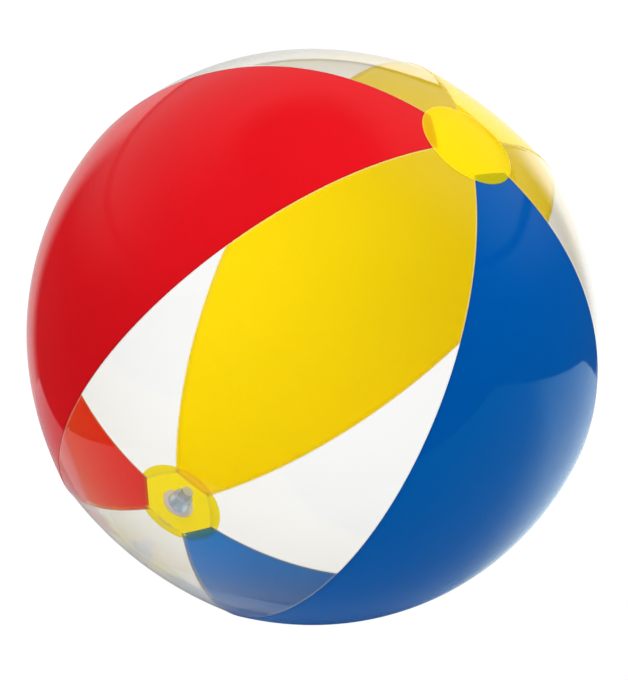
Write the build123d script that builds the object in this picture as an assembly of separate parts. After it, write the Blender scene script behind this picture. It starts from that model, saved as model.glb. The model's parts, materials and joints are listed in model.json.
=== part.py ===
from build123d import *
import math
import os

# Inflatable beach ball, lying as it comes to rest. Millimetres and degrees, +Z up, origin at
# the centre of the ball. Everything is modelled about the ball's own pole axis, with the plain
# pole at +Z and the valve pole at -Z, and is then leaned over by rest_position().

# Envelope
BALL_R = 194.0  # outside of the coloured gores when the ball is blown up
GORES = [  # in order about the pole axis, each second one clear
    "yellow_gore",
    "clear_gore_upper",
    "red_gore",
    "clear_gore_front",
    "blue_gore",
    "clear_gore_side",
]
SEAM_TURN = 88.2  # azimuth of the first seam about the pole axis
LEAN = 43.3  # pole axis from the vertical
HEADING = -41.5  # azimuth that the plain pole leans towards

# Film and welds
FILM = 0.3  # thickness of the vinyl
WELD_GAP = 0.1  # clearance between two layers that are welded face to face
SEAM_LAP = 3.0  # width of clear film under the edge of a coloured gore
DISC_R = 34.0  # radius of the two end discs that close the poles
DISC_LAP = 6.0  # width of each gore's tip under an end disc

# Valve flange, welded inside the hole of the valve disc
FLANGE_R = 12.4
FLANGE_T = 0.8
FLANGE_HOLE_R = 8.0
FLANGE_SHOW = 0.6  # width of flange that shows inside the hole of the disc

# Valve stem, pushed in for play
STEM_R = 4.8
STEM_END_R = 4.4
STEM_L = 19.5
BORE_R = 3.2
COLLAR_R = 5.8
COLLAR_T = 1.2

# Thin web that lets the stem be pushed in and pulled out
WEB_T = 0.4
WEB_DEPTH = 11.0  # below the flange to where the web meets the stem
WEB_FLOOR_R = 6.7

# Plug and its folded strap
PLUG_HEAD_R = COLLAR_R
PLUG_HEAD_T = 1.6
SEAT_GAP = 0.1  # under the plug's head
SHANK_L = 6.0
SHANK_CLEARANCE = 0.05
SWING_CLEARANCE = 0.2  # between the shank's tip and the bore as the plug swings out
STRAP_W = 3.5
STRAP_T = 0.9
STRAP_CLEARANCE = 0.5  # between the strap and the disc below it
FOLD_REACH = 7.4  # from the collar out to the strap's fold
FOLD_R = 0.55  # the strap's fold, which the plug swings on
FOLD_GAP = 0.3
STRAP_TURN = 180.0  # azimuth of the strap about the pole axis

# Check flap under the stem's inner end
FLAP_T = 0.3
FLAP_GAP = 0.1
FLAP_MARGIN = 0.1  # inside the stem's outer edge

# Worked out from the above
GORE_ANGLE = 360.0 / len(GORES)
CLEAR_R = BALL_R - FILM - WELD_GAP  # outside of the clear gores
TIP_R = DISC_R - DISC_LAP  # radius at which each gore ends, short of its pole
DISC_INNER_R = BALL_R + WELD_GAP
DISC_TOP = DISC_INNER_R + FILM
RIM = DISC_TOP + STRAP_CLEARANCE + STRAP_T  # height of the stem's mouth above the centre
FOLD_X = COLLAR_R + FOLD_REACH
FOLD_Z = RIM + FOLD_R - STRAP_T / 2
STRAP_TOP_Z = FOLD_Z + FOLD_R - STRAP_T / 2
STEM_END = RIM - STEM_L
SHANK_TIP_R = math.sqrt((FOLD_X + BORE_R - SWING_CLEARANCE) ** 2 - SHANK_L**2) - FOLD_X


def shell(outer_r, wall):
    """A thin hollow sphere, with the join of its faces on -X."""
    return Rot(0, 0, 180) * (Sphere(outer_r) - Sphere(outer_r - wall))


def wedge(overhang):
    """A prism about +X that holds one gore, with its sides moved outwards by overhang."""
    half = math.radians(GORE_ANGLE / 2)
    apex = -overhang / math.sin(half)
    reach = 2 * BALL_R
    outline = Polyline(
        (apex, 0),
        (apex + reach, -reach * math.tan(half)),
        (apex + reach, reach * math.tan(half)),
        close=True,
    )
    return extrude(make_face(outline), reach, both=True)


def gore(index):
    """One panel from pole to pole, with its tips cut off under the end discs."""
    is_clear = index % 2 == 1
    skin = shell(CLEAR_R if is_clear else BALL_R, FILM)
    panel = skin & wedge(SEAM_LAP if is_clear else 0.0)
    panel -= Cylinder(TIP_R, 3 * BALL_R)
    return Rot(0, 0, SEAM_TURN + (index + 0.5) * GORE_ANGLE) * panel


def end_disc(hole_r=0.0):
    """The round patch over the gore tips at one pole, on +Z."""
    cap = shell(DISC_TOP, FILM) & on_pole(DISC_R)
    if hole_r:
        cap -= on_pole(hole_r)
    return cap


def on_pole(radius):
    """A cylinder along +Z from the centre of the ball, longer than the ball's radius."""
    return extrude(Circle(radius), 2 * BALL_R)


def turned(points):
    """A solid turned about Z from (radius, height) corners."""
    return revolve(make_face(Plane.XZ * Polyline(*points, close=True)), Axis.Z)


def flange_under(radius):
    """Height of the flange's inner face at a distance from the valve's axis."""
    return math.sqrt((BALL_R - FLANGE_T) ** 2 - radius**2)


def stem_radius(height):
    """Outside radius of the tapered stem."""
    return STEM_END_R + (STEM_R - STEM_END_R) * (height - STEM_END) / (STEM_L - COLLAR_T)


def valve_flange():
    return (shell(BALL_R, FLANGE_T) & on_pole(FLANGE_R)) - on_pole(FLANGE_HOLE_R)


def valve_web():
    top = flange_under(FLANGE_HOLE_R + WEB_T) - WELD_GAP
    floor = top - WEB_DEPTH
    inner_r = stem_radius(floor + WEB_T) + WELD_GAP
    return turned(
        [
            (FLANGE_HOLE_R, top),
            (FLANGE_HOLE_R + WEB_T, top),
            (WEB_FLOOR_R + WEB_T, floor),
            (inner_r, floor),
            (inner_r, floor + WEB_T),
            (WEB_FLOOR_R, floor + WEB_T),
        ]
    )


def valve_stem():
    shoulder = RIM - COLLAR_T
    return turned(
        [
            (BORE_R, RIM),
            (COLLAR_R, RIM),
            (COLLAR_R, shoulder),
            (STEM_R, shoulder),
            (STEM_END_R, STEM_END),
            (BORE_R, STEM_END),
        ]
    )


def strap_bar(start_x, end_x, base_z):
    """A straight length of strap along +X."""
    length = end_x - start_x
    return Pos(start_x + length / 2, 0, base_z + STRAP_T / 2) * Box(length, STRAP_W, STRAP_T)


def strap_root():
    """The lower run of the strap, from the collar out to its fold."""
    bar = strap_bar(COLLAR_R / 2, FOLD_X, RIM - STRAP_T)
    fold = Pos(FOLD_X, 0, FOLD_Z) * Rot(90, 0, 0) * Cylinder(FOLD_R, STRAP_W)
    return bar - on_pole(COLLAR_R + WELD_GAP) + fold


def plug_strap():
    """The upper run of the strap, from the fold back to the plug's head."""
    bar = strap_bar(PLUG_HEAD_R / 2, FOLD_X - FOLD_R - FOLD_GAP, STRAP_TOP_Z)
    return bar - on_pole(PLUG_HEAD_R + WELD_GAP)


def plug():
    base = RIM + SEAT_GAP
    shank_r = BORE_R - SHANK_CLEARANCE
    return turned(
        [
            (0, base + PLUG_HEAD_T),
            (PLUG_HEAD_R, base + PLUG_HEAD_T),
            (PLUG_HEAD_R, base),
            (shank_r, base),
            (SHANK_TIP_R, base - SHANK_L),
            (0, base - SHANK_L),
        ]
    )


def check_flap():
    return Pos(0, 0, STEM_END - FLAP_GAP - FLAP_T / 2) * Cylinder(STEM_END_R - FLAP_MARGIN, FLAP_T)


def at_valve(piece):
    """Moves a valve piece from the +Z pole to the valve pole."""
    return Rot(0, 0, STRAP_TURN) * Rot(180, 0, 0) * piece


def rest_position(piece):
    """Leans the ball's pole axis over to where it lies at rest."""
    return Rot(0, 0, HEADING) * Rot(0, LEAN, 0) * piece


pieces = {name: gore(index) for index, name in enumerate(GORES)}
pieces["end_disc"] = end_disc()
pieces["valve_disc"] = at_valve(end_disc(FLANGE_HOLE_R + FLANGE_SHOW))
for make in (valve_flange, valve_web, valve_stem, strap_root, plug_strap, plug, check_flap):
    pieces[make.__name__] = at_valve(make())

os.makedirs("parts", exist_ok=True)
for name, piece in pieces.items():
    export_step(rest_position(piece), f"parts/{name}.step")
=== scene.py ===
import json
import math

import bmesh
import bpy
from mathutils import Matrix, Vector


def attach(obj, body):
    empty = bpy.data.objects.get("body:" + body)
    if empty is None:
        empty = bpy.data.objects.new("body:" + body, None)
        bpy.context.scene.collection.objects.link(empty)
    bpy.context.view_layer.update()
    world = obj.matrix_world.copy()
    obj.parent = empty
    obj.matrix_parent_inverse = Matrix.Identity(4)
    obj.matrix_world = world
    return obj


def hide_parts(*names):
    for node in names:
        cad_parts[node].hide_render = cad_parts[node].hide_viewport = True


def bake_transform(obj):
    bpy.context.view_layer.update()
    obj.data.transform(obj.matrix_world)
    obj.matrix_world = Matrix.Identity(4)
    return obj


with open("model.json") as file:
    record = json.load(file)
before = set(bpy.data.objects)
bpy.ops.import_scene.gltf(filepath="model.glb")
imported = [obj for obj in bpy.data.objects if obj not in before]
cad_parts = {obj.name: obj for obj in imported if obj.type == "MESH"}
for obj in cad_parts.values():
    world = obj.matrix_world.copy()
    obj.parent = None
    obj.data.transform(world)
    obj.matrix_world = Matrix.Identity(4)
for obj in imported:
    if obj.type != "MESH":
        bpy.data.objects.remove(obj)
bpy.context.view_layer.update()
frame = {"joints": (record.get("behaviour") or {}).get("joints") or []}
MM = 0.001

# ---------------------------------------------------------------- driving sizes, in metres
BALL_R = 194.0 * MM  # outside of the coloured gores
FILM = 0.3 * MM
WELD_GAP = 0.1 * MM
SEAM_LAP = 3.0 * MM  # clear film under a coloured gore's edge
DISC_R = 34.0 * MM
TIP_R = 28.0 * MM  # where a gore ends under its disc
CLEAR_R = BALL_R - FILM - WELD_GAP
DISC_TOP = BALL_R + WELD_GAP + FILM
FLOOR_Z = -BALL_R
SEAM_TURN = math.radians(88.2)
GORES = ["yellow_gore", "clear_gore_upper", "red_gore", "clear_gore_front", "blue_gore", "clear_gore_side"]
GORE_ANGLE = 2 * math.pi / len(GORES)
SEAM_RISE = 0.008  # share of the radius by which a seam stands proud of a round ball
MID_DROP = 0.006  # and by which the middle of a gore lies inside it
FULLER = {"blue_gore": 0.009}  # how much further the middle of a gore is blown out than the others
END_PRESSED, VALVE_PRESSED = 0.022, 0.012  # share of the radius by which each pole is flattened

FLANGE_R, FLANGE_T, FLANGE_HOLE_R = 12.4 * MM, 0.8 * MM, 8.0 * MM
VALVE_HOLE_R = 8.6 * MM  # in the valve disc
RIM = DISC_TOP + 1.4 * MM  # height of the stem's mouth above the ball's centre
STEM_END = RIM - 19.5 * MM
STEM_R, STEM_END_R, BORE_R = 4.8 * MM, 4.4 * MM, 3.2 * MM
COLLAR_R, COLLAR_T = 5.8 * MM, 1.2 * MM
WEB_T, WEB_DEPTH, WEB_FLOOR_R = 0.4 * MM, 11.0 * MM, 6.7 * MM
HEAD_BASE = RIM + 0.1 * MM
HEAD_T, SHANK_L, SHANK_R, SHANK_TIP_R = 1.6 * MM, 6.0 * MM, 3.15 * MM, 1.848 * MM
STRAP_W, STRAP_T, STRAP_SOFT = 3.5 * MM, 0.9 * MM, 0.2 * MM
FOLD_GAP = 0.1 * MM  # from the fold's axis to each run of the strap
FOLD_X, FOLD_Z = 13.2 * MM, RIM + 0.1 * MM

JOINT = {joint["name"]: joint for joint in frame["joints"]}
OUT = Vector(JOINT["valve_pull"]["axis"]).normalized()  # outwards through the valve
POLE = -OUT
LEAN = math.acos(POLE.z)
HEADING = math.atan2(POLE.y, POLE.x)
REST = Matrix.Rotation(HEADING, 4, "Z") @ Matrix.Rotation(LEAN, 4, "Y")
AT_VALVE = REST @ Matrix.Rotation(math.pi, 4, "Z") @ Matrix.Rotation(math.pi, 4, "X")


# ---------------------------------------------------------------- mesh helpers
def spun_arc(bm, radius, start, end, steps):
    """A chain of edges along a meridian over +X, from one latitude to another."""
    first = bm.verts.new((radius * math.cos(start), 0, radius * math.sin(start)))
    bmesh.ops.spin(bm, geom=[first], cent=(0, 0, 0), axis=(0, 1, 0), angle=start - end, steps=steps)


def sweep(bm, angle, steps):
    """Spins everything in bm about Z into a surface."""
    closed = abs(abs(angle) - 2 * math.pi) < 1e-6
    bmesh.ops.spin(
        bm, geom=bm.verts[:] + bm.edges[:], cent=(0, 0, 0), axis=(0, 0, 1),
        angle=angle, steps=steps, use_merge=closed,
    )
    bmesh.ops.remove_doubles(bm, verts=bm.verts[:], dist=1e-7)
    bmesh.ops.recalc_face_normals(bm, faces=bm.faces[:])


def chain(bm, points):
    """Edges through (radius, height) points in the XZ plane."""
    verts = [bm.verts.new((r, 0, z)) for r, z in points]
    for a, b in zip(verts, verts[1:]):
        bm.edges.new((a, b))
    return verts


def rounded(corners, radius, steps=5, loop=True):
    """(radius, height) corners with an arc of the given radius at each."""
    points = []
    count = len(corners)
    for i, corner in enumerate(corners):
        here = Vector(corner)
        if not loop and i in (0, count - 1):
            points.append(here)
            continue
        before = (Vector(corners[i - 1]) - here).normalized()
        after = (Vector(corners[(i + 1) % count]) - here).normalized()
        half = before.angle(after) / 2
        reach = radius / math.tan(half)
        centre = here + (before + after).normalized() * (radius / math.sin(half))
        start, end = here + before * reach - centre, here + after * reach - centre
        turn = start.angle_signed(end)
        for step in range(steps + 1):
            points.append(centre + Matrix.Rotation(-turn * step / steps, 2) @ start)
    return points


def split_long(points, longest):
    """Adds points to a closed profile so that no edge is longer than longest."""
    out = []
    for a, b in zip(points, points[1:] + points[:1]):
        parts = max(1, math.ceil((b - a).length / longest))
        out += [a.lerp(b, i / parts) for i in range(parts)]
    return out


def lathe(points, loop=True, steps=96):
    """A closed solid turned about Z from a profile."""
    bm = bmesh.new()
    verts = chain(bm, points)
    if loop:
        bm.edges.new((verts[-1], verts[0]))
    sweep(bm, 2 * math.pi, steps)
    return bm


def finished(name, bm, place, body, material, slot, *nodes):
    """Makes bm an object placed by its mesh, which rides on body and stands for nodes."""
    bm.transform(place)
    mesh = bpy.data.meshes.new(name)
    bm.to_mesh(mesh)
    bm.free()
    piece = bpy.data.objects.new(name, mesh)
    bpy.context.scene.collection.objects.link(piece)
    mesh.materials.append(material)
    mesh.shade_smooth()
    if nodes:
        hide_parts(*nodes)
    if body:
        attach(piece, body)
    return piece


def thicken(piece, wall):
    """Gives a sheet its thickness, inwards from the modelled face."""
    solid = piece.modifiers.new("film", "SOLIDIFY")
    solid.thickness = wall
    solid.offset = -1
    solid.material_offset = len(piece.data.materials) - 1


# ---------------------------------------------------------------- material helpers
def node(tree, kind, inputs=None, **settings):
    """A shader node. Each input is a constant or another node's output, by name or by number."""
    made = tree.nodes.new(kind)
    for key, value in settings.items():
        setattr(made, key, value)
    for key, value in (inputs or {}).items():
        if hasattr(value, "links"):
            tree.links.new(value, made.inputs[key])
        else:
            made.inputs[key].default_value = value
    return made


def maths(tree, operation, *values):
    return node(tree, "ShaderNodeMath", dict(enumerate(values)), operation=operation).outputs[0]


def map_range(tree, value, low, high, start=0.0, end=1.0, **settings):
    ends = {"Value": value, 1: low, 2: high, 3: start, 4: end}
    return node(tree, "ShaderNodeMapRange", ends, **settings).outputs[0]


def mix_colour(tree, share, first, second, **settings):
    ends = {0: share, 6: first, 7: second}
    return node(tree, "ShaderNodeMix", ends, data_type="RGBA", **settings).outputs[2]


def mix_shader(tree, share, first, second):
    return node(tree, "ShaderNodeMixShader", {0: share, 1: first.outputs[0], 2: second.outputs[0]})


def film_finish_group():
    """Mottling with painted glints, dust haze, ripples and the pressed weld along the seams of a vinyl film,
    and painted light on a gore's tip where it lies double.
    """
    tree = bpy.data.node_groups.new("film_finish", "ShaderNodeTree")
    put = tree.interface.new_socket
    for name in ("Film Colour", "Weld and Tip Light Colour"):
        put(name, in_out="INPUT", socket_type="NodeSocketColor")
    for name in ("Ripple", "Gloss", "Sparkle"):
        put(name, in_out="INPUT", socket_type="NodeSocketFloat")
    put("Colour", in_out="OUTPUT", socket_type="NodeSocketColor")
    put("Roughness", in_out="OUTPUT", socket_type="NodeSocketFloat")
    put("Normal", in_out="OUTPUT", socket_type="NodeSocketVector")
    put("Weld", in_out="OUTPUT", socket_type="NodeSocketFloat")
    given = tree.nodes.new("NodeGroupInput").outputs
    place = node(tree, "ShaderNodeTexCoord").outputs["Object"]
    seam = node(tree, "ShaderNodeAttribute", attribute_name="seam").outputs["Fac"]
    cloud = node(tree, "ShaderNodeTexNoise", {"Vector": place, "Scale": 9.0, "Detail": 4.0}).outputs["Fac"]
    swell = node(tree, "ShaderNodeTexNoise", {"Vector": place, "Scale": 22.0, "Detail": 2.0}).outputs["Fac"]
    peel = node(tree, "ShaderNodeTexNoise", {"Vector": place, "Scale": 420.0, "Detail": 2.0}).outputs["Fac"]
    specks = node(tree, "ShaderNodeTexVoronoi", {"Vector": place, "Scale": 260.0}).outputs["Distance"]
    # beside the seam runs a fine pressed line, and the lap that it closes is a little duller
    band = map_range(tree, seam, 0.8 * MM, 1.2 * MM, 1.0, 0.0)
    edge = map_range(tree, seam, 0.2 * MM, 0.8 * MM, 1.0, 0.0)
    shade = map_range(tree, cloud, 0.3, 0.7, 0.93, 1.03)
    grains = node(tree, "ShaderNodeTexVoronoi", {"Vector": place, "Scale": 1100.0}).outputs
    grain = node(tree, "ShaderNodeSeparateXYZ", {0: grains["Color"]}).outputs[0]
    # painted glints: fine random cells make the colour lighter and darker
    glint = maths(tree, "MULTIPLY", given["Sparkle"], maths(tree, "MULTIPLY_ADD", grain, 1.0, -0.6))
    shade = maths(tree, "ADD", shade, glint)
    tint = mix_colour(tree, 1.0, given["Film Colour"], shade, blend_type="MULTIPLY")
    # painted light: a gore's tip, where it lies double on its disc, takes the weld's colour too, which on the
    # yellow and blue insides is lighter than the film
    doubled = node(tree, "ShaderNodeAttribute", attribute_name="doubled").outputs["Fac"]
    weld_and_tip_light = mix_colour(tree, maths(tree, "MAXIMUM", edge, doubled), tint, given["Weld and Tip Light Colour"])
    dust = maths(tree, "LESS_THAN", specks, 0.07)
    rough = maths(tree, "ADD", given["Gloss"], maths(tree, "MULTIPLY", dust, 0.12))
    rough = maths(tree, "ADD", rough, maths(tree, "MULTIPLY", band, 0.06))
    rough = maths(tree, "ADD", rough, maths(tree, "MULTIPLY", cloud, 0.03))
    height = maths(tree, "MULTIPLY", swell, given["Ripple"])
    height = maths(tree, "ADD", height, maths(tree, "MULTIPLY", peel, 0.004))
    roughened = maths(tree, "MULTIPLY", given["Sparkle"], 0.5)
    height = maths(tree, "ADD", height, maths(tree, "MULTIPLY", grain, roughened))
    bump = node(tree, "ShaderNodeBump", {"Strength": 1.0, "Distance": 0.5 * MM, "Height": height})
    back = tree.nodes.new("NodeGroupOutput")
    made = {"Colour": weld_and_tip_light, "Roughness": rough, "Normal": bump.outputs[0], "Weld": band}
    for name, value in made.items():
        tree.links.new(value, back.inputs[name])
    return tree


FILM_FINISH = film_finish_group()


def new_material(name):
    material = bpy.data.materials.new(name)
    material.use_nodes = True
    tree = material.node_tree
    tree.nodes.clear()
    return material, tree, tree.nodes.new("ShaderNodeOutputMaterial")


def finish_nodes(tree, colour, weld, ripple, gloss, sparkle=0.0):
    group = node(tree, "ShaderNodeGroup", node_tree=FILM_FINISH)
    group.inputs["Film Colour"].default_value = (*colour, 1)
    group.inputs["Weld and Tip Light Colour"].default_value = (*weld, 1)
    group.inputs["Ripple"].default_value = ripple
    group.inputs["Gloss"].default_value = gloss
    group.inputs["Sparkle"].default_value = sparkle
    return group.outputs


def coloured_film(name, *, colour, weld, sheen, through, glow, seen_through=0.0, ior=1.5):
    """Glossy dyed vinyl. Its mirror is dyed by sheen, except edge on, and the light in it by through.

    glow is the share of light that it spreads from its far side, and seen_through the share that
    passes straight.
    """
    material, tree, out = new_material(name)
    # weld colours the pressed line along a seam and, as painted light, a gore's tip where it lies double
    made = finish_nodes(tree, colour, weld, 0.25, 0.05)
    skin = node(tree, "ShaderNodeBsdfPrincipled", {
        "Base Color": made["Colour"], "Roughness": made["Roughness"], "Normal": made["Normal"],
        "IOR": ior, "Specular Tint": (*sheen, 1),
    })
    lit = node(tree, "ShaderNodeBsdfTranslucent", {"Color": (*through, 1), "Normal": made["Normal"]})
    dyed = mix_shader(tree, glow, skin, lit)
    inside = node(tree, "ShaderNodeNewGeometry").outputs["Backfacing"]
    stained = node(tree, "ShaderNodeBsdfTransparent", {"Color": (*through, 1)})
    thin = mix_shader(tree, seen_through, dyed, stained)
    leaving = node(tree, "ShaderNodeBsdfTransparent", {"Color": (1, 1, 1, 1)})
    both = mix_shader(tree, inside, thin, leaving)
    tree.links.new(both.outputs[0], out.inputs["Surface"])
    return material


def clear_film(name, *, tint, edge_tint, haze, milk, weld_haze=0.0, rough=0.03, sparkle=0.0, glow=0.5):
    """Glossy clear vinyl: see-through, mirrors at its outer face, and greys where it is seen edge on.

    haze is the share of it that is milky, weld_haze what is added to that along a seam, and glow
    the share of the milk's light that comes from its far side.
    """
    material, tree, out = new_material(name)
    made = finish_nodes(tree, milk, milk, 0.3, rough, sparkle)
    facing = node(tree, "ShaderNodeLayerWeight", {"Blend": 0.5, "Normal": made["Normal"]}).outputs["Facing"]
    deep = maths(tree, "POWER", facing, 1.6)
    pane = mix_colour(tree, deep, (*tint, 1), (*edge_tint, 1))
    see = node(tree, "ShaderNodeBsdfTransparent", {"Color": pane})
    face = node(tree, "ShaderNodeBsdfPrincipled", {
        "Base Color": made["Colour"], "Roughness": made["Roughness"], "Normal": made["Normal"], "IOR": 1.5,
    })
    lit = node(tree, "ShaderNodeBsdfTranslucent", {"Color": made["Colour"], "Normal": made["Normal"]})
    cloudy = mix_shader(tree, glow, face, lit)
    mirror = node(tree, "ShaderNodeBsdfPrincipled", {
        "Base Color": (0.98, 0.99, 0.98, 1), "Metallic": 1.0,
        "Roughness": made["Roughness"], "Normal": made["Normal"],
    })
    outside = maths(tree, "SUBTRACT", 1.0, node(tree, "ShaderNodeNewGeometry").outputs["Backfacing"])
    milky = maths(tree, "MULTIPLY", maths(tree, "MULTIPLY_ADD", made["Weld"], weld_haze, haze), outside)
    one_face = node(tree, "ShaderNodeFresnel", {"IOR": 1.45, "Normal": made["Normal"]}).outputs[0]
    sheen = maths(tree, "MULTIPLY", one_face, outside)
    hazed = mix_shader(tree, milky, see, cloudy)
    both = mix_shader(tree, sheen, hazed, mirror)
    tree.links.new(both.outputs[0], out.inputs["Surface"])
    return material


RED = coloured_film(
    "red_vinyl", colour=(0.64, 0.006, 0.012), weld=(0.45, 0.004, 0.01),
    sheen=(1, 0.12, 0.09), through=(0.9, 0.01, 0.01), glow=0.2,
)
# painted light: the red film's inner face is given a brighter red than its outer face, standing in for the
# light on the far gores
RED_IN_PAINTED_LIGHT = coloured_film(
    "red_vinyl_inside_painted_light", colour=(0.78, 0.0, 0.016), weld=(0.76, 0.004, 0.01),
    sheen=(1, 0.1, 0.1), through=(0.9, 0.01, 0.01), glow=0.25,
)
BLUE = coloured_film(
    "blue_vinyl", colour=(0.0, 0.062, 0.32), weld=(0.0, 0.035, 0.2),
    sheen=(0.0, 0.7, 0.9), through=(0.0, 0.25, 0.9), glow=0.2, ior=1.47,
)
# painted light: the blue film's inner face is given a lighter blue than its outer face, standing in for the
# light on the far gores
BLUE_IN_PAINTED_LIGHT = coloured_film(
    "blue_vinyl_inside_painted_light", colour=(0.0, 0.15, 0.58), weld=(0.02, 0.2, 0.5),
    sheen=(0, 0.6, 1), through=(0.0, 0.28, 1.0), glow=0.3,
)
YELLOW = coloured_film(
    "yellow_vinyl", colour=(1.0, 0.72, 0.0), weld=(0.95, 0.62, 0.0),
    sheen=(1.0, 0.85, 0.1), through=(1.0, 0.78, 0.0), glow=0.35, ior=1.28,
)
# painted shade: the yellow film's inner face is given a darker, more orange yellow than its outer face,
# standing in for the shade on the far gores
YELLOW_IN_PAINTED_SHADE = coloured_film(
    "yellow_vinyl_inside_painted_shade", colour=(0.68, 0.35, 0.002), weld=(0.95, 0.8, 0.0),
    sheen=(1, 0.8, 0.1), through=(1.0, 0.77, 0.0), glow=0.55,
)
DISC = coloured_film(
    "disc_vinyl", colour=(1.0, 0.8, 0.0), weld=(1.0, 0.88, 0.12),
    sheen=(1.0, 0.9, 0.05), through=(1.0, 0.86, 0.0), glow=0.35, seen_through=0.28, ior=1.4,
)
CLEAR = clear_film(
    "clear_vinyl", tint=(0.99, 0.991, 0.988), edge_tint=(0.84, 0.836, 0.822),
    haze=0.003, weld_haze=0.22, milk=(0.9, 0.92, 0.9),
)
FLANGE = clear_film(
    "flange_vinyl", tint=(0.9, 0.93, 0.96), edge_tint=(0.8, 0.84, 0.87),
    haze=1.0, milk=(0.96, 0.98, 1.0), rough=0.12, sparkle=0.9, glow=0.1,
)
STEM = clear_film(
    "stem_vinyl", tint=(0.94, 0.96, 0.97), edge_tint=(0.78, 0.82, 0.85),
    haze=0.4, milk=(0.78, 0.86, 0.97), rough=0.05, glow=0.3,
)
WEB = clear_film(
    "web_vinyl", tint=(0.9, 0.94, 0.98), edge_tint=(0.8, 0.85, 0.92),
    haze=0.5, milk=(0.6, 0.78, 1.0), rough=0.05, sparkle=0.5, glow=0.3,
)
PLUG = clear_film(
    "plug_vinyl", tint=(0.9, 0.94, 0.97), edge_tint=(0.7, 0.78, 0.86),
    haze=0.5, milk=(0.5, 0.64, 0.82), rough=0.08, sparkle=0.2,
)
STRAP = clear_film(
    "strap_vinyl", tint=(0.95, 0.96, 0.97), edge_tint=(0.75, 0.8, 0.84),
    haze=0.25, milk=(0.75, 0.82, 0.88), rough=0.08,
)
# a milky check flap, its haze and near-white milk raised as a painted highlight: a white dot at the valve's
# centre
FLAP_PAINTED_HIGHLIGHT = clear_film(
    "flap_film", tint=(0.97, 0.97, 0.96), edge_tint=(0.8, 0.82, 0.84),
    haze=0.6, milk=(0.9, 0.95, 1.0), rough=0.05,
)
FILMS = {  # outside, inside and slot; the red and blue insides carry painted light, the yellow inside painted shade
    "red": (RED, RED_IN_PAINTED_LIGHT, "red_vinyl"), "blue": (BLUE, BLUE_IN_PAINTED_LIGHT, "blue_vinyl"),
    "yellow": (YELLOW, YELLOW_IN_PAINTED_SHADE, "yellow_vinyl"), "clear": (CLEAR, CLEAR, "clear_vinyl"),
}


# ---------------------------------------------------------------- the gores and discs
ACROSS, ALONG = 56, 132
EDGE_CROWDING = 1.9
BEAD, BEAD_IN, BEAD_WIDE = 0.22 * MM, 1.0 * MM, 0.7 * MM  # pressed line in clear film, beside a seam


def pressed(latitude, share):
    """Share of the radius by which a pole is pulled in, growing towards it."""
    return share * abs(math.sin(latitude)) ** 6


def lobe(longitude, latitude, fuller):
    """Share of the radius by which the skin stands out from a round ball: seams are low ridges."""
    across = abs(longitude) / (GORE_ANGLE / 2)
    shape = -MID_DROP + (SEAM_RISE + MID_DROP) * across**2.2 + fuller * (1 - across**2)
    flat = pressed(latitude, END_PRESSED if latitude > 0 else VALVE_PRESSED)
    return shape * (1 - abs(math.sin(latitude)) ** 10) - flat


def press(bm, share):
    """Pulls pieces at the +Z pole in with it."""
    for v in bm.verts:
        v.co *= 1 - pressed(math.acos(math.hypot(v.co.x, v.co.y) / v.co.length), share)


def tip_latitude(radius, longitude):
    """Latitude of a gore's end. It is cut straight across, so its corners reach nearer the disc's rim."""
    across = min(abs(longitude), GORE_ANGLE / 2)
    return math.acos(TIP_R * 1.06 * math.cos(GORE_ANGLE / 2) / math.cos(across) / radius)


def gore(index):
    """One panel, tip to tip. Columns crowd towards its seams, where the pressed weld is."""
    name = GORES[index]
    is_clear = "clear" in name
    radius = CLEAR_R if is_clear else BALL_R
    tip = math.acos(TIP_R / radius)
    bm = bmesh.new()
    spun_arc(bm, radius, -tip, tip, ALONG)
    sweep(bm, GORE_ANGLE, ACROSS)
    bmesh.ops.rotate(bm, verts=bm.verts[:], matrix=Matrix.Rotation(-GORE_ANGLE / 2, 3, "Z"))
    layer = bm.verts.layers.float.new("seam")
    doubled = bm.verts.layers.float.new("doubled")
    for v in bm.verts:
        latitude = math.asin(v.co.z / radius)
        share = math.atan2(v.co.y, v.co.x) / (GORE_ANGLE / 2)
        crowded = math.copysign(1 - (1 - min(1, abs(share))) ** EDGE_CROWDING, share)
        latitude *= tip_latitude(radius, crowded * GORE_ANGLE / 2) / tip
        ring = radius * math.cos(latitude)
        lap = SEAM_LAP / ring if is_clear else 0.0
        longitude = crowded * (GORE_ANGLE / 2 + lap)
        from_seam = abs(GORE_ANGLE / 2 - abs(longitude)) * ring
        v[layer] = from_seam
        # the tip where it lies double on its disc, which the film finish paints in the weld's colour as
        # painted light
        v[doubled] = 1.0 if ring < DISC_R else 0.0
        grown = radius * (1 + lobe(min(abs(longitude), GORE_ANGLE / 2), latitude, FULLER.get(name, 0.0)))
        if is_clear and abs(longitude) < GORE_ANGLE / 2:
            grown += BEAD * math.exp(-((from_seam - BEAD_IN) / BEAD_WIDE) ** 2)
        v.co = (
            grown * math.cos(latitude) * math.cos(longitude),
            grown * math.cos(latitude) * math.sin(longitude),
            grown * math.sin(latitude),
        )
    outside, inside, slot = FILMS[name.split("_")[0]]
    turn = Matrix.Rotation(SEAM_TURN + (index + 0.5) * GORE_ANGLE, 4, "Z")
    bmesh.ops.recalc_face_normals(bm, faces=bm.faces[:])
    piece = finished(f"{name}_film", bm, REST @ turn, "ball", outside, slot, name)
    # the inner skin takes the inside film, which carries painted light for red and blue and painted shade for
    # yellow
    piece.data.materials.append(inside)
    lowest = FLOOR_Z + (BALL_R - radius)
    for v in piece.data.vertices:
        v.co.z = max(v.co.z, lowest)  # the patch that lies flat on the floor
    face_outwards(piece)
    thicken(piece, FILM)
    return piece


def face_outwards(piece):
    """An open sheet has no inside, so its normals are turned away from the ball's centre."""
    mesh = piece.data
    if sum(p.normal.dot(p.center) for p in mesh.polygons) < 0:
        mesh.flip_normals()


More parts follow.
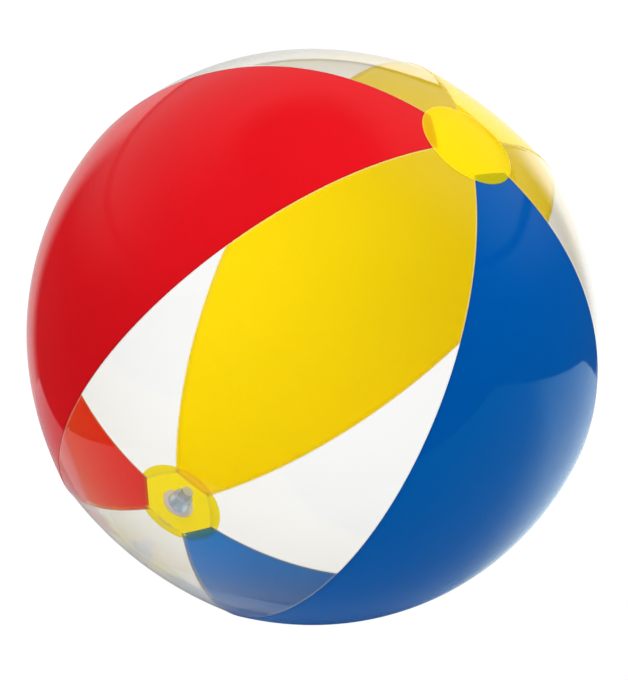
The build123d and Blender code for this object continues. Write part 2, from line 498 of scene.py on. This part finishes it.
def disc(name, node_name, place, hole_r, share):
    """A round patch over the gore tips."""
    bm = bmesh.new()
    start = math.asin(hole_r / DISC_TOP)
    spun_arc(bm, DISC_TOP, math.pi / 2 - math.asin(DISC_R / DISC_TOP), math.pi / 2 - start, 40)
    sweep(bm, 2 * math.pi, 144)
    layer = bm.verts.layers.float.new("seam")
    for v in bm.verts:
        v[layer] = DISC_R - math.hypot(v.co.x, v.co.y)
    press(bm, share)
    piece = finished(name, bm, place, "ball", DISC, "yellow_vinyl", node_name)
    face_outwards(piece)
    thicken(piece, FILM)
    return piece


for gore_index in range(len(GORES)):
    gore(gore_index)
disc("end_disc_film", "end_disc", REST, 0.0, END_PRESSED)
disc("valve_disc_film", "valve_disc", AT_VALVE, VALVE_HOLE_R, VALVE_PRESSED)


# ---------------------------------------------------------------- the valve
def valve_piece(name, bm, body, material, slot, *nodes):
    bmesh.ops.recalc_face_normals(bm, faces=bm.faces[:])
    return finished(name, bm, AT_VALVE, body, material, slot, *nodes)


def flange_under(radius):
    return math.sqrt((BALL_R - FLANGE_T) ** 2 - radius**2)


def flange_over(radius):
    return math.sqrt(BALL_R**2 - radius**2)


def valve_flange():
    """The welded ring, with three low beads pressed into its inner face."""
    inner, outer = [], []
    for step in range(61):
        r = FLANGE_HOLE_R + (FLANGE_R - FLANGE_HOLE_R) * step / 60
        bead = max(0.0, math.cos((r - FLANGE_HOLE_R) / (FLANGE_R - FLANGE_HOLE_R) * 3 * 2 * math.pi)) ** 2
        rim = min(1.0, 6 * step / 60, 6 * (60 - step) / 60)
        inner.append(Vector((r, flange_under(r) + (0.22 - 0.2 * bead) * MM * rim + 0.15 * MM * (1 - rim))))
        outer.append(Vector((r, flange_over(r) - 0.12 * MM * (1 - rim) ** 2)))
    bm = lathe(outer + inner[::-1], steps=144)
    for v in bm.verts:
        r = math.hypot(v.co.x, v.co.y)
        if v.co.length < BALL_R - FLANGE_T / 2 and FLANGE_R - 2.2 * MM < r < FLANGE_R - 0.2 * MM:
            v.co *= 1 + 0.12 * MM / BALL_R * (1 + math.cos(48 * math.atan2(v.co.y, v.co.x)))
    press(bm, VALVE_PRESSED)
    valve_piece("valve_flange_ring", bm, "ball", FLANGE, "valve_vinyl", "valve_flange")


def valve_web():
    """The thin cup that carries the stem, built still in its rest shape; the real one turns inside out as the
    valve is pulled.
    """
    top = flange_under(FLANGE_HOLE_R + WEB_T) - WELD_GAP
    floor = top - WEB_DEPTH
    inner_r = STEM_END_R + 0.2 * MM
    corners = [
        (FLANGE_HOLE_R, top), (FLANGE_HOLE_R + WEB_T, top), (WEB_FLOOR_R + WEB_T, floor),
        (inner_r, floor), (inner_r, floor + WEB_T), (WEB_FLOOR_R, floor + WEB_T),
    ]
    profile = split_long(rounded(corners, 0.15 * MM), 0.5 * MM)
    bm = lathe(profile, steps=72)
    sink = VALVE_PRESSED * BALL_R
    for v in bm.verts:
        v.co.z -= sink * max(0.0, (v.co.z - floor - WEB_T) / (WEB_DEPTH - WEB_T))
    web = valve_piece("valve_web_cup", bm, None, WEB, "valve_vinyl", "valve_web")
    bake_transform(web)


def valve_stem():
    """A tapered tube with a collar at its mouth."""
    shoulder = RIM - COLLAR_T
    corners = [
        (BORE_R, RIM), (COLLAR_R, RIM), (COLLAR_R, shoulder), (STEM_R, shoulder),
        (STEM_END_R, STEM_END), (BORE_R, STEM_END),
    ]
    shape = lathe(rounded(corners, 0.3 * MM))
    valve_piece("valve_stem_tube", shape, "stem", STEM, "valve_vinyl", "valve_stem")


def plug():
    """A flat head with a pressed ring on it, over a tapered shank with a rounded tip."""
    top = HEAD_BASE + HEAD_T
    dish = top - 0.35 * MM
    corners = [
        (0, dish), (3.1 * MM, dish), (3.6 * MM, top), (COLLAR_R, top), (COLLAR_R, HEAD_BASE),
        (SHANK_R, HEAD_BASE), (SHANK_R - 0.1 * MM, HEAD_BASE - 1.2 * MM), (SHANK_TIP_R, HEAD_BASE - SHANK_L),
        (0, HEAD_BASE - SHANK_L),
    ]
    shape = lathe(rounded(corners, 0.28 * MM, loop=False), loop=False)
    valve_piece("valve_plug", shape, "plug", PLUG, "valve_vinyl", "plug")


def check_flap():
    """A disc of film with a thicker rim."""
    high = STEM_END - 0.1 * MM
    corners = [
        (0, high), (STEM_END_R - 0.1 * MM, high), (STEM_END_R - 0.1 * MM, high - 0.3 * MM),
        (2.6 * MM, high - 0.3 * MM), (2.3 * MM, high - 0.22 * MM), (0, high - 0.22 * MM),
    ]
    shape = lathe(rounded(corners, 0.06 * MM, loop=False), loop=False)
    # the flap's film carries a painted highlight
    valve_piece("check_flap_disc", shape, "flap", FLAP_PAINTED_HIGHLIGHT, "flap_film", "check_flap")


def strap_run(name, node_name, body, z, from_r):
    """A straight run of strap, hollowed at its inner end to fit round what it is joined to."""
    bm = bmesh.new()
    half = STRAP_W / 2
    start = math.sqrt(from_r**2 - half**2)
    bmesh.ops.create_grid(bm, x_segments=24, y_segments=12, size=1)
    for v in bm.verts:
        y = v.co.y * half
        near = math.sqrt(from_r**2 - y**2)
        v.co = (near + (FOLD_X - near) * (v.co.x + 1) / 2, y, z)
    made = bmesh.ops.extrude_face_region(bm, geom=bm.faces[:])
    raised = [g for g in made["geom"] if isinstance(g, bmesh.types.BMVert)]
    bmesh.ops.translate(bm, verts=raised, vec=(0, 0, STRAP_T))

    def is_long_edge(e):
        a, b = (v.co for v in e.verts)
        at_side = abs(a.y) > half * 0.99 and abs(b.y) > half * 0.99
        return at_side and abs(a.z - b.z) < 1e-6 and not e.is_boundary and e.calc_face_angle(0) > 1.0

    long_edges = [e for e in bm.edges if is_long_edge(e)]
    bmesh.ops.bevel(
        bm, geom=long_edges, offset=STRAP_SOFT, segments=3, affect="EDGES", profile=0.5, material=-1,
    )
    valve_piece(name, bm, body, STRAP, "valve_vinyl", node_name)


def strap_fold():
    """The strap's bend, built still in its rest shape; the real one opens out as the plug swings."""
    bm = bmesh.new()
    half = STRAP_W / 2
    near, far, soft = FOLD_GAP, FOLD_GAP + STRAP_T, STRAP_SOFT
    ring = [
        (-half, near), (half, near), (half, far - soft),
        (half - soft, far), (-half + soft, far), (-half, far - soft),
    ]
    verts = [bm.verts.new((FOLD_X, y, FOLD_Z - r)) for y, r in ring]
    face = bm.faces.new(verts)
    bmesh.ops.spin(bm, geom=[face], cent=(FOLD_X, 0, FOLD_Z), axis=(0, -1, 0), angle=math.pi, steps=20)
    bmesh.ops.remove_doubles(bm, verts=bm.verts[:], dist=1e-7)
    fold = valve_piece("strap_fold", bm, None, STRAP, "valve_vinyl")
    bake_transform(fold)


valve_flange()
valve_web()
valve_stem()
plug()
check_flap()
strap_run("strap_lower", "strap_root", "stem", FOLD_Z - FOLD_GAP - STRAP_T, COLLAR_R + 0.02 * MM)
strap_run("strap_upper", "plug_strap", "plug", FOLD_Z + FOLD_GAP, COLLAR_R + 0.02 * MM)
strap_fold()

# ---------------------------------------------------------------- stage, light and camera
BACKGROUND = 1.06  # over-exposed white, as the eye sees floor and room


def stage_floor():
    """A white sheet that the ball lies on, with its edges where the ball mirrors them."""
    corners = [(-1.65, -1.12), (1.2, -1.6), (4.1, -1.9), (5.3, -1.9), (5.3, 2.9), (-3.3, 2.9)]
    bm = bmesh.new()
    bm.faces.new([bm.verts.new((x * BALL_R, y * BALL_R, FLOOR_Z)) for x, y in corners])
    mesh = bpy.data.meshes.new("floor")
    bm.to_mesh(mesh)
    bm.free()
    floor = bpy.data.objects.new("floor", mesh)
    bpy.context.scene.collection.objects.link(floor)
    material, tree, out = new_material("floor_white")
    paper = node(tree, "ShaderNodeBsdfPrincipled", {"Base Color": (0.7, 0.7, 0.69, 1), "Roughness": 0.7})
    place = node(tree, "ShaderNodeTexCoord").outputs["Object"]
    across, depth, _ = node(tree, "ShaderNodeSeparateXYZ", {0: place}).outputs
    far = map_range(tree, depth, 0.3 * BALL_R, 2.9 * BALL_R, 1.005, BACKGROUND)
    blank = node(tree, "ShaderNodeEmission", {"Color": (1, 1, 1, 1), "Strength": far})
    path = node(tree, "ShaderNodeLightPath").outputs
    eye = mix_shader(tree, path["Is Camera Ray"], paper, blank)
    # painted light and shade, seen only in mirrors: the floor is dark in front of the ball and bright, a
    # little cyan, behind it at the right
    aside = map_range(tree, across, 0.0, 0.7 * BALL_R)
    behind = map_range(tree, depth, -0.5 * BALL_R, 0.2 * BALL_R)
    lit = maths(tree, "MULTIPLY", aside, behind)
    shaded = mix_colour(tree, lit, (0.33, 0.37, 0.4, 1), (0.8, 0.97, 0.99, 1))
    dim = node(tree, "ShaderNodeBsdfPrincipled", {"Base Color": shaded, "Roughness": 0.7})
    kinds = mix_shader(tree, path["Is Glossy Ray"], eye, dim)
    tree.links.new(kinds.outputs[0], out.inputs["Surface"])
    mesh.materials.append(material)


def studio_world():
    """White to the eye. In what it lights and in mirrors it is bright behind and dark in front."""
    world = bpy.data.worlds.new("studio")
    bpy.context.scene.world = world
    world.use_nodes = True
    tree = world.node_tree
    tree.nodes.clear()
    way = node(tree, "ShaderNodeSeparateXYZ", {0: node(tree, "ShaderNodeTexCoord").outputs["Generated"]})
    x, y, z = way.outputs

    def ramp(value, low, high, start=0.0, end=1.0):
        return map_range(tree, value, low, high, start, end, interpolation_type="SMOOTHSTEP")

    def product(*values):
        total = values[0]
        for value in values[1:]:
            total = maths(tree, "MULTIPLY", total, value)
        return total

    slant = maths(tree, "DIVIDE", x, maths(tree, "MAXIMUM", y, 0.02))
    span = product(ramp(slant, -0.8, -0.5), ramp(slant, 0.5, 0.8, 1.0, 0.0), ramp(y, 0.0, 0.15))
    wall = product(span, ramp(z, 0.4, 0.42, 1.0, 0.0), ramp(slant, -0.2, 0.4, 0.7, 1.5))
    shut = maths(tree, "SUBTRACT", 1.0, maths(tree, "ADD", ramp(z, 0.4, 0.42, 1.0, 0.0), ramp(z, 0.44, 0.46)))
    open_gap = maths(tree, "SUBTRACT", 1.0, maths(tree, "MULTIPLY", shut, ramp(slant, -0.5, 0.1, 0.4, 1.0)))
    tent = product(ramp(z, 0.15, 0.55), open_gap, ramp(z, 0.88, 0.97, 1.0, 0.0), ramp(y, -0.35, 0.3), 0.55)
    glow = maths(tree, "ADD", maths(tree, "ADD", wall, tent), 0.05)
    room = node(tree, "ShaderNodeBackground", {"Color": (1, 1, 1, 1), "Strength": glow})
    white = node(tree, "ShaderNodeBackground", {"Color": (1, 1, 1, 1), "Strength": BACKGROUND})
    seen = node(tree, "ShaderNodeLightPath").outputs["Is Camera Ray"]
    mix = mix_shader(tree, seen, room, white)
    out = node(tree, "ShaderNodeOutputWorld")
    tree.links.new(mix.outputs[0], out.inputs["Surface"])


def softbox(name, place, size, power):
    """A soft light that faces the ball and shows neither to the eye nor in mirrors."""
    data = bpy.data.lights.new(name, "AREA")
    data.shape = "RECTANGLE"
    data.size, data.size_y = size
    data.energy = power
    lamp = bpy.data.objects.new(name, data)
    lamp.location = place
    lamp.rotation_mode = "QUATERNION"
    lamp.rotation_quaternion = (-Vector(place)).to_track_quat("-Z", "Y")
    lamp.visible_camera = False
    lamp.visible_glossy = False
    bpy.context.scene.collection.objects.link(lamp)


stage_floor()
studio_world()
softbox("front_left", (-1.4, -2.3, 1.2), (1.6, 1.6), 72.0)
softbox("front_right", (1.7, -2.0, 1.6), (1.6, 1.6), 56.0)
softbox("overhead", (0.2, 0.7, 2.2), (2.0, 1.4), 24.0)
softbox("behind_left", (-1.0, 0.8, 0.0), (0.7, 0.35), 12.5)
softbox("behind_right", (1.5, 1.7, 0.9), (1.4, 1.2), 22.0)


def photographer():
    """The camera looks down a little at the ball, from eight radii away."""
    elevation = math.radians(10.0)
    back = Vector((0, -math.cos(elevation), math.sin(elevation)))
    up = Vector((0, math.sin(elevation), math.cos(elevation)))
    data = bpy.data.cameras.new("camera")
    data.lens = 124.7
    data.sensor_width = 36.0
    camera = bpy.data.objects.new("camera", data)
    camera.location = back * 8.2 * BALL_R
    aim = -up * 0.018 * BALL_R
    camera.rotation_mode = "QUATERNION"
    camera.rotation_quaternion = (camera.location - aim).to_track_quat("Z", "Y")
    bpy.context.scene.collection.objects.link(camera)
    bpy.context.scene.camera = camera


photographer()
scene = bpy.context.scene
scene.view_settings.view_transform = "Standard"
scene.cycles.transparent_max_bounces = 48
scene.cycles.max_bounces = 16
scene.cycles.diffuse_bounces = 8
